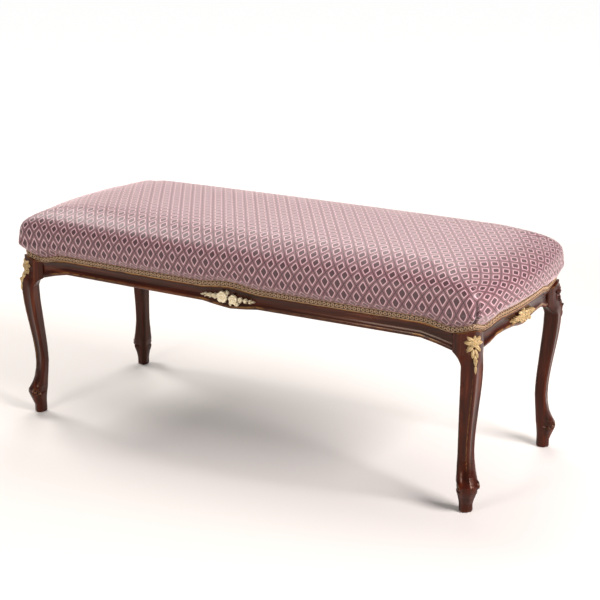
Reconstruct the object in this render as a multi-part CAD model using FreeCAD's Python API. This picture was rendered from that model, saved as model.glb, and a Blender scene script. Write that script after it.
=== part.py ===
import FreeCAD, Part
import math
import os

# Upholstered bench on cabriole legs. Millimetres, +Z up, +X along the bench, the front faces -Y.
# The origin lies on the floor under the middle of the seat.

# Plan of the frame
foot_span_x = 1080.0        # between the middles of the feet, along the bench
foot_span_y = 396.0         # between the middles of the feet, front to back
rail_stand = 11.5           # the rail faces stand this far outside the middles of the feet
leg_block = 46.5            # side of the square block that heads each leg
front_bow = 8.0             # the long rails bow out this much at their middle
end_bow = 14.0              # the end rails bow out this much at their middle
face_corner = 12.0          # corner radius of the line that the rail faces follow
rail_thick = 32.0           # at the legs

# Heights
show_edge = 376.0           # upper edge of the polished wood
rail_face = 33.0            # height of the polished rail face
tack_high = 28.0            # height of the tacking strip above it

# Rail outlines and moulding
tack_setback = 8.0          # the tacking strip above the polished edge lies this far in
crest_rise = 7.0            # the long rails' upper edge rises at the middle
crest_half = 80.0           # half the length of that rise, and of the drop under it
centre_drop = 8.0           # the lower edge drops at the middle of every rail
end_drop_half = 62.0        # half the length of the drop on the end rails
leg_dip_high = 11.0         # the upper edge falls towards the legs
leg_dip_low = 16.0          # the lower edge falls towards the legs
leg_dip_run = 62.0          # over this length
bead_round = 10.0           # height of the bead along the lower edge
cove_deep = 4.5             # depth of the cove above the bead
cove_bottom = 0.4           # share of the cove's height at which it is deepest
fillet_high = 4.5           # height of the fillet along the upper edge
long_stations = 30          # sections along a long rail
end_stations = 14           # sections along an end rail
corner_steps = 4            # sections round a corner of the braid
arc_steps = 4               # straight steps that draw a round stretch of a lofted section
side_steps = 6              # the same for a long bowed side of the seat
round_steps = 16            # the same for a whole circle

# Legs, measured along the diagonal from the middle of the foot
knee_drop = 22.0            # the knee lies this far under the rails
knee_reach = 29.5
knee_back = 10.0            # the back of the knee lies this far behind the middle of the foot
knee_half = 23.0            # half the width across the diagonal
ankle_height = 122.0
ankle_reach = 6.5
ankle_back = 23.0
ankle_half = 17.2
neck_reach = 25.0           # where the knee spreads into the block
ear_reach = 20.0            # the rounded ear at the head of the leg
ear_waist = 18.0            # the hollow under the ear
ear_rise = 12.0             # the ear rises this much above the rails beside it
waist_share = 0.45          # share of the way from the neck to the ear at which the hollow lies
neck_blend = 0.66           # share of the way from the block's form to the knee's, half way down the neck
ridge_half = 3.6            # half the width of the ridge down the front of the leg
ridge_drop = 1.3
edge_round = 4.0            # softening of the side edges
back_half = 7.0             # half the width of the softened back edge
leg_hollow = 1.6            # depth of the channel either side of the ridge
knee_swell = 3.2            # fullness of the knee either side of the ridge
shank_steps = 9             # sections between the knee and the ankle
ear_steps = 3               # sections between the neck and the hollow, and on to the ear

# Scroll foot: the ankle flares into a toe with a scroll at each side, and tapers to the floor
toe_height = 57.0
toe_reach = 25.5
toe_back = 18.0
toe_half = 22.5
toe_swell = 4.5             # fullness of the faces of the toe
toe_steps = 4               # sections between the ankle and the toe, and between the toe and the floor
foot_high = 20.0            # height of the straight part
foot_half = 14.2
foot_swell = 3.0            # fullness of the faces of the foot
foot_chamfer = 2.5
scroll_radius = 7.5
scroll_eye = 3.0            # radius of the eye in each end
scroll_dish = 1.2           # depth of the ring round the eye, and how far the scroll stands out
scroll_set = 15.0           # the middle of the scroll lies this far inside the toe

# Joints and blocks
dowel_radius = 4.0
dowel_depth = 20.0          # in each of the two pieces that it joins
dowel_rise = 13.0           # height of the lower dowels above the rails' lower edge
dowel_pitch = 28.0
dowel_play = 0.1
block_run = 70.0            # length of a corner block along each rail
block_rise = 7.0            # blocks and brace lie this far above the rails' lower edge
block_high = 36.0
screw_radius = 2.2
screw_head = 4.5
screw_bite = 20.0           # length of screw in the rail
screw_seat = 16.0           # wood left under the screw's head
screw_well = 5.5            # radius of the hole that takes the head
brace_thick = 28.0
brace_high = 42.0
brace_dip = 8.0             # the brace's top is hollowed so that the webbing can sink

# Upholstery
strap_width = 50.0
strap_thick = 1.5
strap_margin = 6.0          # the straps stop this far inside the tacking strip
long_straps = 3
cross_straps = 9
cloth_thick = 0.8
cloth_margin = 3.0
cover_thick = 1.5
wadding_thick = 10.0
cushion_bulge = 18.0        # the seat swells this far outside the rail faces
bulge_rise = 44.0           # height of the widest place above the polished edge
bulge_corner = 31.0         # corner radius of the seat at its widest
crown_rise = 77.0           # height of the crown above the widest place
crown_end_share = 0.82      # the crown falls off more slowly towards the ends
crown_power = 4             # fullness of the crown: 2 is an ellipse
crown_insets = (0.0, 0.03, 0.1, 0.22, 0.42, 0.65, 0.85)   # shares of the half depth, from the side inwards
crown_corner = 0.7          # largest corner radius as a share of the half depth
tuck_shares = (1.0, 0.55, 0.18)                           # how far the seat is drawn in under its side
tuck_corner = 0.7           # the corner radius shrinks by this share of the drawing in
skirt_setback = 4.4         # the cover's lower edge lies this far inside the rail faces
gimp_high = 11.5
gimp_thick = 2.6
seat_play = 0.25            # between the braid and what it lies on
dust_rise = 4.0             # the dust cover lies this far above the rails' lower edge
dust_thick = 0.7

# Carvings
flower_radius = 15.0
flower_small = 12.0
petals = 5
petal_relief = 5.0
petal_valley = 0.62         # the valleys between the petals, as a share of the flower's radius
flower_spread = 0.66        # each flower of a pair lies this share of a radius from the middle
heart_radius = 4.2          # the boss in the middle of a flower
heart_relief = 3.0
leaf_relief = 4.0
leaf_taper = 0.45           # a leaf's top is this share of its foot
leaf_widest = 0.45          # a leaf is widest at this share of its length
leaf_tuck = 0.6             # leaves start this share of a radius from a flower's middle
leaf_lifts = (-0.35, 0.22)  # turns of the lower and upper leaf beside a flower, in radians
tip_leaf = 0.75             # size of the smaller leaves against the large ones
bud_turn = -0.4             # direction of the bud, in half turns
front_leaf = 34.0           # length of the leaves beside the flowers
front_leaf_wide = 13.0
end_leaf = 26.0
knee_leaf = 30.0
knee_leaf_wide = 13.0
husk_wide = 11.0
husk_start = 0.7            # the husk starts at this share of the leaf above it
carving_sink = 14.0         # the blanks reach this far in before they are fitted to the wood

# Derived places
diagonal = math.sqrt(0.5)
foot_x = foot_span_x / 2
foot_y = foot_span_y / 2
face_x = foot_x + rail_stand
face_y = foot_y + rail_stand
butt_x = face_x - leg_block
butt_y = face_y - leg_block
inner_x = face_x - rail_thick
inner_y = face_y - rail_thick
half_length = face_x + end_bow
half_depth = face_y + front_bow
front_radius = (butt_x ** 2 + front_bow ** 2) / (2 * front_bow)
end_radius = (butt_y ** 2 + end_bow ** 2) / (2 * end_bow)
rail_low = show_edge - rail_face
rail_top = show_edge + tack_high
neck_height = rail_low - leg_dip_low
knee_height = neck_height - knee_drop
dowel_low = rail_low + dowel_rise
block_low = rail_low + block_rise
dust_level = rail_low + dust_rise
bulge_height = show_edge + bulge_rise
crown_height = bulge_height + crown_rise
ear_low = show_edge - leg_dip_high
ear_half = leg_block * diagonal
gimp_top = show_edge + crest_rise + gimp_high + seat_play
strap_level = rail_top + strap_thick
cloth_level = strap_level + strap_thick
seat_level = cloth_level + cloth_thick
far = half_length + half_depth
up = FreeCAD.Vector(0, 0, 1)


def vec(x, y, z):
    return FreeCAD.Vector(x, y, z)


def line(a, b):
    return Part.LineSegment(a, b).toShape()


def arc(a, b, c):
    return Part.Arc(a, b, c).toShape()


def faceted(edges, steps):
    """Corner points of a closed section from its edges in order; round stretches get straight steps."""
    points = []
    for edge in edges:
        count = 1 if edge.Curve.TypeId == "Part::GeomLine" else steps
        points = points + edge.discretize(count + 1)[:-1]
    return points


def ring(middle, first, second, radius):
    """Corner points of a circle in the plane of two directions."""
    turns = [2 * math.pi * step / round_steps for step in range(round_steps)]
    return [middle + (first * math.cos(turn) + second * math.sin(turn)) * radius for turn in turns]


def flat_face(points):
    return Part.Face(Part.makePolygon(points + points[:1]))


def loft(sections):
    """A solid through sections that have the same number of points, in flat facets."""
    faces = [flat_face(sections[0]), flat_face(sections[-1])]
    for lower, upper in zip(sections, sections[1:]):
        following = zip(lower[1:] + lower[:1], upper[1:] + upper[:1])
        for a, d, (b, c) in zip(lower, upper, following):
            faces.append(flat_face([a, b, c]))
            faces.append(flat_face([a, c, d]))
    solid = Part.Solid(Part.Shell(faces))
    if solid.Volume < 0:
        solid.reverse()
    return solid


def block(low, high):
    size = high - low
    return Part.makeBox(size.x, size.y, size.z, low)


def prism(points, along):
    return flat_face(points).extrude(along)


def bump(u):
    """A smooth rise from 0 at u = -1 to 1 at u = 0 and back to 0 at u = 1."""
    if abs(u) >= 1:
        return 0.0
    return 0.5 + 0.5 * math.cos(math.pi * u)


def ease(u):
    """A smooth step from 0 at u = 0 to 1 at u = 1."""
    return u * u * (3 - 2 * u)


def mix(a, b, share):
    return a + (b - a) * share


def four_corners(shape):
    """The piece made for the rear right corner, set at all four corners."""
    right = shape.mirror(vec(0, 0, 0), vec(0, 1, 0))
    rear_left = shape.mirror(vec(0, 0, 0), vec(1, 0, 0))
    front_left = right.mirror(vec(0, 0, 0), vec(1, 0, 0))
    return {"front_left": front_left, "front_right": right, "rear_left": rear_left, "rear_right": shape}


# Line of the rail faces: four bowed sides and round corners

def corner_middle(length, depth, corner):
    """Middle of the corner arc that runs into both side arcs, in the rear right corner."""
    end_x = length - end_radius
    rear_y = depth - front_radius
    to_end = end_radius - corner
    to_rear = front_radius - corner
    span = math.hypot(end_x, rear_y)
    along = (to_end ** 2 - to_rear ** 2 + span ** 2) / (2 * span)
    across = math.sqrt(to_end ** 2 - along ** 2)
    x = end_x * (1 - along / span) - rear_y / span * across
    y = rear_y * along / span - end_x / span * across
    return x, y


def outline(length, depth, corner, z):
    """Edges of the closed line at height z; length and depth are half sizes at the sides' middles."""
    x, y = corner_middle(length, depth, corner)
    end_turn = math.atan2(y, x - (length - end_radius))
    rear_turn = math.atan2(y - (depth - front_radius), x)
    half_turn = (end_turn + rear_turn) / 2

    def on_corner(turn, sx, sy):
        return vec(sx * (x + corner * math.cos(turn)), sy * (y + corner * math.sin(turn)), z)

    edges = []
    for sx, sy in ((1, 1), (-1, 1), (-1, -1), (1, -1)):
        first, last = (end_turn, rear_turn) if sx == sy else (rear_turn, end_turn)
        edges.append(arc(on_corner(first, sx, sy), on_corner(half_turn, sx, sy), on_corner(last, sx, sy)))
        side = vec(0, sy * depth, z) if sx == sy else vec(sx * length, 0, z)
        next_x, next_y = (-sx, sy) if sx == sy else (sx, -sy)
        edges.append(arc(on_corner(last, sx, sy), side, on_corner(last, next_x, next_y)))
    return edges


def face_outline(out, z):
    """The line of the rail faces, moved out by the given amount."""
    return Part.Wire(outline(half_length + out, half_depth + out, face_corner + out, z))


def face_prism(out, low, high):
    return Part.Face(face_outline(out, low)).extrude(up * (high - low))


def long_face(x):
    """How far the face of a long rail stands from the middle of the bench at x."""
    return half_depth - front_radius + math.sqrt(front_radius ** 2 - x ** 2)


def end_face(y):
    return half_length - end_radius + math.sqrt(end_radius ** 2 - y ** 2)


# Upper and lower edges of the polished wood

def long_edges(x):
    dip = bump((butt_x - abs(x)) / leg_dip_run)
    middle = bump(x / crest_half)
    low = rail_low - centre_drop * middle - leg_dip_low * dip
    high = show_edge + crest_rise * middle - leg_dip_high * dip
    return low, high


def end_edges(y):
    dip = bump((butt_y - abs(y)) / leg_dip_run)
    low = rail_low - centre_drop * bump(y / end_drop_half) - leg_dip_low * dip
    high = show_edge - leg_dip_high * dip
    return low, high


def ear_edge(across):
    return ear_low + ear_rise * bump(across / ear_half)


def edge_at(x, y):
    """Height of the polished upper edge at a place on the line of the rail faces."""
    x, y = abs(x), abs(y)
    if x < butt_x:
        return long_edges(x)[1]
    if y < butt_y:
        return end_edges(y)[1]
    return ear_edge(((x - foot_x) - (y - foot_y)) * diagonal)


# Rails: the moulded section is lofted along the bowed face, with a tacking strip above it

def moulding(place, inner, face, low, high):
    """Closed section of a rail; place(out, z) puts a point at a distance from the bench's middle."""
    cove_low = low + bead_round
    cove_high = high - fillet_high
    cove_middle = mix(cove_low, cove_high, cove_bottom)
    edges = [
        line(place(inner, low), place(face - bead_round / 2, low)),
        arc(place(face - bead_round / 2, low), place(face, low + bead_round / 2),
            place(face - cove_deep / 2, cove_low)),
        arc(place(face - cove_deep / 2, cove_low), place(face - cove_deep, cove_middle),
            place(face - cove_deep / 3, cove_high)),
        line(place(face - cove_deep / 3, cove_high), place(face, cove_high)),
        line(place(face, cove_high), place(face, high)),
        line(place(face, high), place(inner, high)),
        line(place(inner, high), place(inner, low)),
    ]
    return faceted(edges, arc_steps)


def both_ways(shares):
    return [-s for s in reversed(shares)] + [0.0] + list(shares)


def stations(reach, count):
    """Evenly spaced places from one end of a rail to the other."""
    return [mix(-reach, reach, step / count) for step in range(count + 1)]


def rear_rail():
    sections = []
    for x in stations(butt_x, long_stations):
        low, high = long_edges(x)
        sections.append(moulding(lambda out, z: vec(x, out, z), inner_y, long_face(x), low, high))
    strip = block(vec(-butt_x, inner_y, rail_low), vec(butt_x, far, rail_top))
    strip = strip.common(face_prism(-tack_setback, rail_low, rail_top))
    return loft(sections).fuse(strip).removeSplitter()


def right_rail():
    sections = []
    for y in stations(butt_y, end_stations):
        low, high = end_edges(y)
        sections.append(moulding(lambda out, z: vec(out, y, z), inner_x, end_face(y), low, high))
    strip = block(vec(inner_x, -butt_y, rail_low), vec(far, butt_y, rail_top))
    strip = strip.common(face_prism(-tack_setback, rail_low, rail_top))
    return loft(sections).fuse(strip).removeSplitter()


# Legs

def leg_point(out, across, z):
    """A point at the rear right leg: out along the diagonal, across it, and up."""
    return vec(foot_x + (out - across) * diagonal, foot_y + (out + across) * diagonal, z)


def leg_section(z, reach, back, side_out, half, swell):
    """Section of a leg: a front ridge, two swelling or hollow faces, soft side edges and a soft back."""
    front = reach - ridge_drop
    side = vec(side_out + edge_round, half - edge_round / 3, 0)
    run = vec(side.x - front, side.y - ridge_half, 0)
    normal = vec(-run.y, run.x, 0).normalize() * -swell
    face = vec((side.x + front) / 2, (side.y + ridge_half) / 2, 0) + normal
    rear = vec(side_out - edge_round, half - edge_round / 2, 0)
    heel = -back + back_half / 2
    edges = [arc(leg_point(front, -ridge_half, z), leg_point(reach, 0, z), leg_point(front, ridge_half, z))]
    edges.append(arc(leg_point(front, ridge_half, z), leg_point(face.x, face.y, z),
                     leg_point(side.x, side.y, z)))
    edges.append(arc(leg_point(side.x, side.y, z), leg_point(side_out, half, z),
                     leg_point(rear.x, rear.y, z)))
    edges.append(line(leg_point(rear.x, rear.y, z), leg_point(heel, back_half, z)))
    edges.append(arc(leg_point(heel, back_half, z), leg_point(-back, 0, z), leg_point(heel, -back_half, z)))
    edges.append(line(leg_point(heel, -back_half, z), leg_point(rear.x, -rear.y, z)))
    edges.append(arc(leg_point(rear.x, -rear.y, z), leg_point(side_out, -half, z),
                     leg_point(side.x, -side.y, z)))
    edges.append(arc(leg_point(side.x, -side.y, z), leg_point(face.x, -face.y, z),
                     leg_point(front, -ridge_half, z)))
    return faceted(edges, arc_steps)


# The sides of the leg's head run into the rails where these meet its block
head_side = (2 * rail_stand - leg_block) * diagonal + edge_round / 4
head_half = ear_half - edge_round / 4


def head_section(z, reach):
    return leg_section(z, reach, leg_block / 2, head_side, head_half, knee_swell)


def leg_head():
    """The ear over the knee: it hollows under its rim and is arched at the top."""
    waist_height = mix(neck_height, ear_low, waist_share)
    ear_top = ear_low + ear_rise
    levels = [(neck_height, neck_reach), (waist_height, ear_waist), (ear_low, ear_reach),
              (ear_top, ear_reach)]
    sections = []
    for (low, low_reach), (high, high_reach) in zip(levels, levels[1:]):
        for step in range(ear_steps):
            share = step / ear_steps
            sections.append(head_section(mix(low, high, share), mix(low_reach, high_reach, ease(share))))
    head = loft(sections + [head_section(ear_top, ear_reach)])
    steps = both_ways([ear_half / 3, ear_half * 2 / 3, ear_half, leg_block])
    arch = [leg_point(-far, across, ear_edge(across)) for across in steps]
    arch = arch + [leg_point(-far, steps[-1], neck_height), leg_point(-far, steps[0], neck_height)]
    return head.common(prism(arch, vec(far * 2 * diagonal, far * 2 * diagonal, 0)))


def leg_shank():
    """The S of the cabriole, from the spread neck over the knee and the ankle to the toe and the floor."""
    sections = [head_section(neck_height, neck_reach)]
    half_way = (neck_height + knee_height) / 2
    block_form = (neck_reach, leg_block / 2, head_side, head_half, knee_swell)
    knee_form = (knee_reach, knee_back, knee_back, knee_half, 0)
    between = [mix(at_block, at_knee, neck_blend) for at_block, at_knee in zip(block_form, knee_form)]
    sections.append(leg_section(half_way, *between))

    def add(z, reach, back, half, swell):
        sections.append(leg_section(z, reach, back, (reach - back) / 2, half, swell))

    for step in range(shank_steps):
        share = step / shank_steps
        bend = ease(share)
        add(mix(knee_height, ankle_height, share), mix(knee_reach, ankle_reach, bend),
            mix(knee_back, ankle_back, bend), mix(knee_half, ankle_half, bend), -leg_hollow)
    for step in range(toe_steps):
        share = step / toe_steps
        add(mix(ankle_height, toe_height, share), mix(ankle_reach, toe_reach, share ** 2),
            mix(ankle_back, toe_back, share), mix(ankle_half, toe_half, ease(share)),
            mix(-leg_hollow, toe_swell, share))
    for step in range(toe_steps + 1):
        share = step / toe_steps
        draw = 1 - (1 - share) ** 2
        add(mix(toe_height, foot_high, share), mix(toe_reach, foot_half, draw),
            mix(toe_back, foot_half, draw), mix(toe_half, foot_half, draw),
            mix(toe_swell, foot_swell, share))
    add(foot_chamfer, foot_half, foot_half, foot_half, foot_swell)
    sole = foot_half - foot_chamfer
    add(0, sole, sole, sole, foot_swell)
    return loft(sections)


def scroll():
    """The volute at the toe: a roll across the leg with a ringed eye in each end."""
    half = toe_half + scroll_dish
    side = [(scroll_eye, half), (scroll_eye + scroll_dish, half - 2 * scroll_dish),
            (scroll_radius - scroll_dish, half), (scroll_radius, half - scroll_dish)]
    profile = side + [(radius, -place) for radius, place in reversed(side)]
    outwards = vec(diagonal, diagonal, 0)
    return loft([ring(leg_point(toe_reach - scroll_set, place, toe_height), outwards, up, radius)
                 for radius, place in profile])


def leg():
    core = block(vec(butt_x, butt_y, neck_height), vec(face_x, face_y, rail_top))
    core = core.common(face_prism(-tack_setback, neck_height, rail_top))
    shape = core
    for piece in (leg_head(), leg_shank(), scroll()):
        shape = shape.fuse(piece)
    beside = block(vec(0, butt_y, neck_height - leg_dip_low), vec(butt_x, far, rail_top))
    behind = block(vec(butt_x, 0, neck_height - leg_dip_low), vec(far, butt_y, rail_top))
    return shape.cut(beside).cut(behind).removeSplitter()


# Dowels, corner blocks, screws and brace

def pin(middle, along, radius, reach):
    """A round pin that reaches equally far both ways from the joint at its middle."""
    return Part.makeCylinder(radius, 2 * reach, middle - along * reach, along)


def dowel_places():
    """Middle and direction of every dowel: two in each leg joint and two at each end of the brace."""
    places = []
    for z in (dowel_low, dowel_low + dowel_pitch):
        for sx in (-1, 1):
            for sy in (-1, 1):
                places.append((vec(sx * butt_x, sy * (face_y - rail_thick / 2), z), vec(1, 0, 0)))
                places.append((vec(sx * (face_x - rail_thick / 2), sy * butt_y, z), vec(0, 1, 0)))
        for sy in (-1, 1):
            places.append((vec(0, sy * inner_y, z), vec(0, 1, 0)))
    return places


def corner_block():
    """Glue block across the rear right corner, notched round the leg's block."""
    points = [vec(inner_x, butt_y, block_low), vec(butt_x, butt_y, block_low),
              vec(butt_x, inner_y, block_low), vec(butt_x - block_run, inner_y, block_low),
              vec(inner_x, butt_y - block_run, block_low)]
    return prism(points, up * block_high)


def screw(seat, along, radius, head):
    """A wood screw whose head lies at the seat; it runs along the given direction."""
    cone = head - radius
    shank = Part.makeCylinder(radius, screw_seat + screw_bite - radius, seat, along)
    tip = Part.makeCone(radius, radius / 4, radius, seat + along * (screw_seat + screw_bite - radius), along)
    return Part.makeCone(head, radius, cone, seat, along).fuse(shank).fuse(tip)


def screw_seats():
    """Seat and direction of the two screws in the rear right block."""
    z = block_low + block_high / 2
    into_rear = (vec(butt_x - block_run / 2, inner_y - screw_seat, z), vec(0, 1, 0))
    into_end = (vec(inner_x - screw_seat, butt_y - block_run / 2, z), vec(1, 0, 0))
    return [into_rear, into_end]


def cross_brace():
    top = block_low + brace_high
    corners = [vec(-brace_thick / 2, side * inner_y, z) for side, z in ((-1, top), (-1, block_low),
                                                                       (1, block_low), (1, top))]
    dip = vec(-brace_thick / 2, 0, top - brace_dip)
    edges = [line(corners[0], corners[1]), line(corners[1], corners[2]), line(corners[2], corners[3])]
    edges.append(arc(corners[3], dip, corners[0]))
    return Part.Face(Part.Wire(edges)).extrude(vec(brace_thick, 0, 0))


# Webbing and cloths

def lengthwise_webbing():
    reach = face_x - tack_setback - strap_margin
    pitch = 2 * inner_y / (long_straps + 1)
    straps = []
    for index in range(long_straps):
        y = -inner_y + pitch * (index + 1)
        straps.append(block(vec(-reach, y - strap_width / 2, rail_top),
                            vec(reach, y + strap_width / 2, strap_level)))
    return straps


def crosswise_webbing():
    """Straps that are tacked to the long rails and climb over the lengthwise ones."""
    reach = face_y - tack_setback - strap_margin
    climb_start = inner_y - strap_margin
    climb_end = inner_y - 2 * inner_y / (long_straps + 1) + strap_width / 2 + strap_margin
    upper = [(-reach, strap_level), (-climb_start, strap_level), (-climb_end, cloth_level),
             (climb_end, cloth_level), (climb_start, strap_level), (reach, strap_level)]
    lower = [(y, z - strap_thick) for y, z in reversed(upper)]
    pitch = 2 * butt_x / cross_straps
    straps = []
    for index in range(cross_straps):
        x = -butt_x + pitch * (index + 0.5) - strap_width / 2
        straps.append(prism([vec(x, y, z) for y, z in upper + lower], vec(strap_width, 0, 0)))
    return straps


def dust_cover():
    sheet = block(vec(-inner_x, -inner_y, dust_level - dust_thick), vec(inner_x, inner_y, dust_level))
    low = vec(butt_x, butt_y, dust_level - dust_thick)
    for piece in four_corners(block(low, vec(face_x, face_y, dust_level))).values():
        sheet = sheet.cut(piece)
    return sheet


# Seat: a crowned form, drawn in over the braid

def seat_form(shrink):
    """The seat's outer form, made smaller all round by the given amount; it starts above the braid."""
    crown = crown_height - shrink
    wide_x = half_length + cushion_bulge - shrink
    wide_y = half_depth + cushion_bulge - shrink
    corner = bulge_corner - shrink
    drawn = cushion_bulge + skirt_setback
    sections = []
    for share in tuck_shares:
        z = bulge_height - (bulge_height - gimp_top) * math.sqrt(1 - (1 - share) ** 2)
        inset = drawn * share
        tucked = outline(wide_x - inset, wide_y - inset, corner - inset * tuck_corner, z)
        sections.append(faceted(tucked, side_steps))
    for inset in crown_insets:
        z = bulge_height + (crown - bulge_height) * math.sqrt(1 - (1 - inset) ** crown_power)
        length = wide_x * (1 - inset * crown_end_share)
        depth = wide_y * (1 - inset)
        crowned = outline(length, depth, min(corner * (1 + inset), depth * crown_corner), z)
        sections.append(faceted(crowned, side_steps))
    return loft(sections)


def skirt(out):
    """The straight lower part of the cover, behind the braid."""
    return face_prism(out, ear_low, gimp_top)


def seat_layers(wood):
    """Cover, wadding and foam; each lies against the next."""
    filled = seat_form(cover_thick)
    core = seat_form(cover_thick + wadding_thick)
    base = block(vec(-far, -far, seat_level), vec(far, far, crown_height))
    foam = core.common(base)
    platform = face_prism(-tack_setback + seat_play, gimp_top, seat_level)
    wadding = filled.cut(foam).cut(platform)
    hem = skirt(-skirt_setback).cut([skirt(-skirt_setback - cover_thick)] + wood)
    cover = seat_form(0).cut(filled).fuse(hem).removeSplitter()
    return cover, wadding, foam


# Braid along the cover's lower edge

def half_run(butt, count, corner_start):
    """Places from the middle of a side to the leg, and on over the ear to where the corner turns."""
    rail = [place for place in stations(butt, count) if place >= 0]
    ear = [mix(butt, corner_start, step / corner_steps) for step in range(1, corner_steps)]
    return rail + ear


def braid_places():
    """Places on the line of the rail faces in the rear right quarter, with the way out from it."""
    x, y = corner_middle(half_length, half_depth, face_corner)
    rear_y = half_depth - front_radius
    end_x = half_length - end_radius
    end_turn = math.atan2(y, x - end_x)
    rear_turn = math.atan2(y - rear_y, x)
    places = []
    for station in half_run(butt_x, long_stations, x + face_corner * math.cos(rear_turn)):
        places.append((station, long_face(station), math.atan2(long_face(station) - rear_y, station)))
    for step in range(corner_steps + 1):
        turn = mix(rear_turn, end_turn, step / corner_steps)
        places.append((x + face_corner * math.cos(turn), y + face_corner * math.sin(turn), turn))
    for station in reversed(half_run(butt_y, end_stations, y + face_corner * math.sin(end_turn))):
        places.append((end_face(station), station, math.atan2(station, end_face(station) - end_x)))
    return places


def braid_section(x, y, turn):
    low = edge_at(x, y) + seat_play
    out = vec(math.cos(turn), math.sin(turn), 0)
    inner = vec(x, y, low) - out * (skirt_setback - seat_play)
    outer = inner + out * gimp_thick
    rise = up * gimp_high
    return [inner, outer, outer + rise, inner + rise]


def gimp_braid():
    quarter = loft([braid_section(*place) for place in braid_places()])
    pieces = list(four_corners(quarter).values())
    return pieces[0].multiFuse(pieces[1:]).removeSplitter()


# Carvings: flowers and leaves in relief, made lying on the X-Y plane with Z outwards

def flower(x, y, radius):
    """Five round petals about a raised boss."""
    turn = 2 * math.pi / petals
    places = ((radius * petal_valley, 0), (radius, 0.5), (radius * petal_valley, 1))
    edges = []
    for index in range(petals):
        valley, tip, following = [vec(x + reach * math.cos(turn * (index + share)),
                                      y + reach * math.sin(turn * (index + share)), -carving_sink)
                                  for reach, share in places]
        edges.append(arc(valley, tip, following))
    disc = prism(faceted(edges, arc_steps), up * (carving_sink + petal_relief))
    foot_ring = ring(vec(x, y, petal_relief), vec(1, 0, 0), vec(0, 1, 0), heart_radius)
    top_ring = ring(vec(x, y, petal_relief + heart_relief), vec(1, 0, 0), vec(0, 1, 0), heart_radius / 2)
    return disc.fuse(loft([foot_ring, top_ring]))


def leaf_outline(x, y, turn, length, width, z):
    def place(along, aside):
        return vec(x + along * math.cos(turn) - aside * math.sin(turn),
                   y + along * math.sin(turn) + aside * math.cos(turn), z)
    root = place(0, 0)
    tip = place(length, 0)
    widest = length * leaf_widest
    edges = [arc(root, place(widest, -width / 2), tip), arc(tip, place(widest, width / 2), root)]
    return faceted(edges, arc_steps)


def leaf(x, y, turn, length, width):
    """A pointed leaf that narrows towards its raised middle."""
    foot_line = leaf_outline(x, y, turn, length, width, -carving_sink)
    edge_line = leaf_outline(x, y, turn, length, width, 0)
    inset = length * (1 - leaf_taper) / 2
    top = leaf_outline(x + inset * math.cos(turn), y + inset * math.sin(turn), turn,
                       length * leaf_taper, width * leaf_taper, leaf_relief)
    return loft([foot_line, edge_line, top])


def joined(pieces):
    return pieces[0].multiFuse(pieces[1:])


def spray(leaf_length, leaf_width):
    """Two flowers side by side with a leaf spray at each side and a bud below."""
    reach = flower_radius * flower_spread
    tuck = flower_small * leaf_tuck
    pieces = [flower(-reach, 0, flower_radius), flower(reach, 0, flower_small)]
    for side in (-1, 1):
        out = math.pi / 2 - side * math.pi / 2
        start = side * (reach + tuck)
        for lift in leaf_lifts:
            pieces.append(leaf(start, 0, out + side * lift, leaf_length, leaf_width))
        pieces.append(leaf(start + side * leaf_length * leaf_tuck, 0, out, leaf_length * tip_leaf,
                           leaf_width * tip_leaf))
    pieces.append(leaf(tuck, -tuck, math.pi * bud_turn, flower_small, husk_wide))
    return joined(pieces)


def on_wall(shape, middle, right):
    """Stand a relief up: its X runs along right, its Y up and its Z outwards from the wall."""
    out = right.cross(up)
    place = FreeCAD.Matrix(right.x, up.x, out.x, middle.x, right.y, up.y, out.y, middle.y,
                           right.z, up.z, out.z, middle.z, 0, 0, 0, 1)
    stood = shape.copy()
    stood.Placement = FreeCAD.Placement(place)
    return stood


def rear_carving(rail):
    low, high = long_edges(0)
    middle = vec(0, half_depth, (low + high) / 2)
    return on_wall(spray(front_leaf, front_leaf_wide), middle, vec(-1, 0, 0)).cut(rail)


def right_carving(rail):
    low, high = end_edges(0)
    middle = vec(half_length, 0, (low + high) / 2)
    return on_wall(spray(end_leaf, front_leaf_wide), middle, vec(0, 1, 0)).cut(rail)


def knee_carving(support):
    """A flower under the ear with a leaf each side, and a husk and a drop trailing down the knee."""
    right = vec(-diagonal, diagonal, 0)
    flower_height = (neck_height + ear_low) / 2
    side_leaf = knee_leaf * tip_leaf
    side_wide = knee_leaf_wide * tip_leaf
    pieces = []

    def add(shape, reach, z):
        pieces.append(on_wall(shape, leg_point(reach, 0, z), right))

    add(flower(0, 0, flower_small), ear_waist, flower_height)
    for side in (-1, 1):
        turn = math.pi / 2 - side * math.pi / 4
        add(leaf(0, 0, turn, side_leaf, side_wide), ear_waist - petal_relief, flower_height)
        add(leaf(0, 0, -turn, side_leaf, side_wide), ear_waist - leaf_relief, flower_height)
    add(leaf(0, 0, -math.pi / 2, knee_leaf, knee_leaf_wide), neck_reach, neck_height + flower_small)
    husk_height = neck_height + flower_small - knee_leaf * husk_start
    add(leaf(0, 0, -math.pi / 2, knee_leaf, husk_wide), knee_reach, husk_height)
    return joined(pieces).cut(support)


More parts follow.
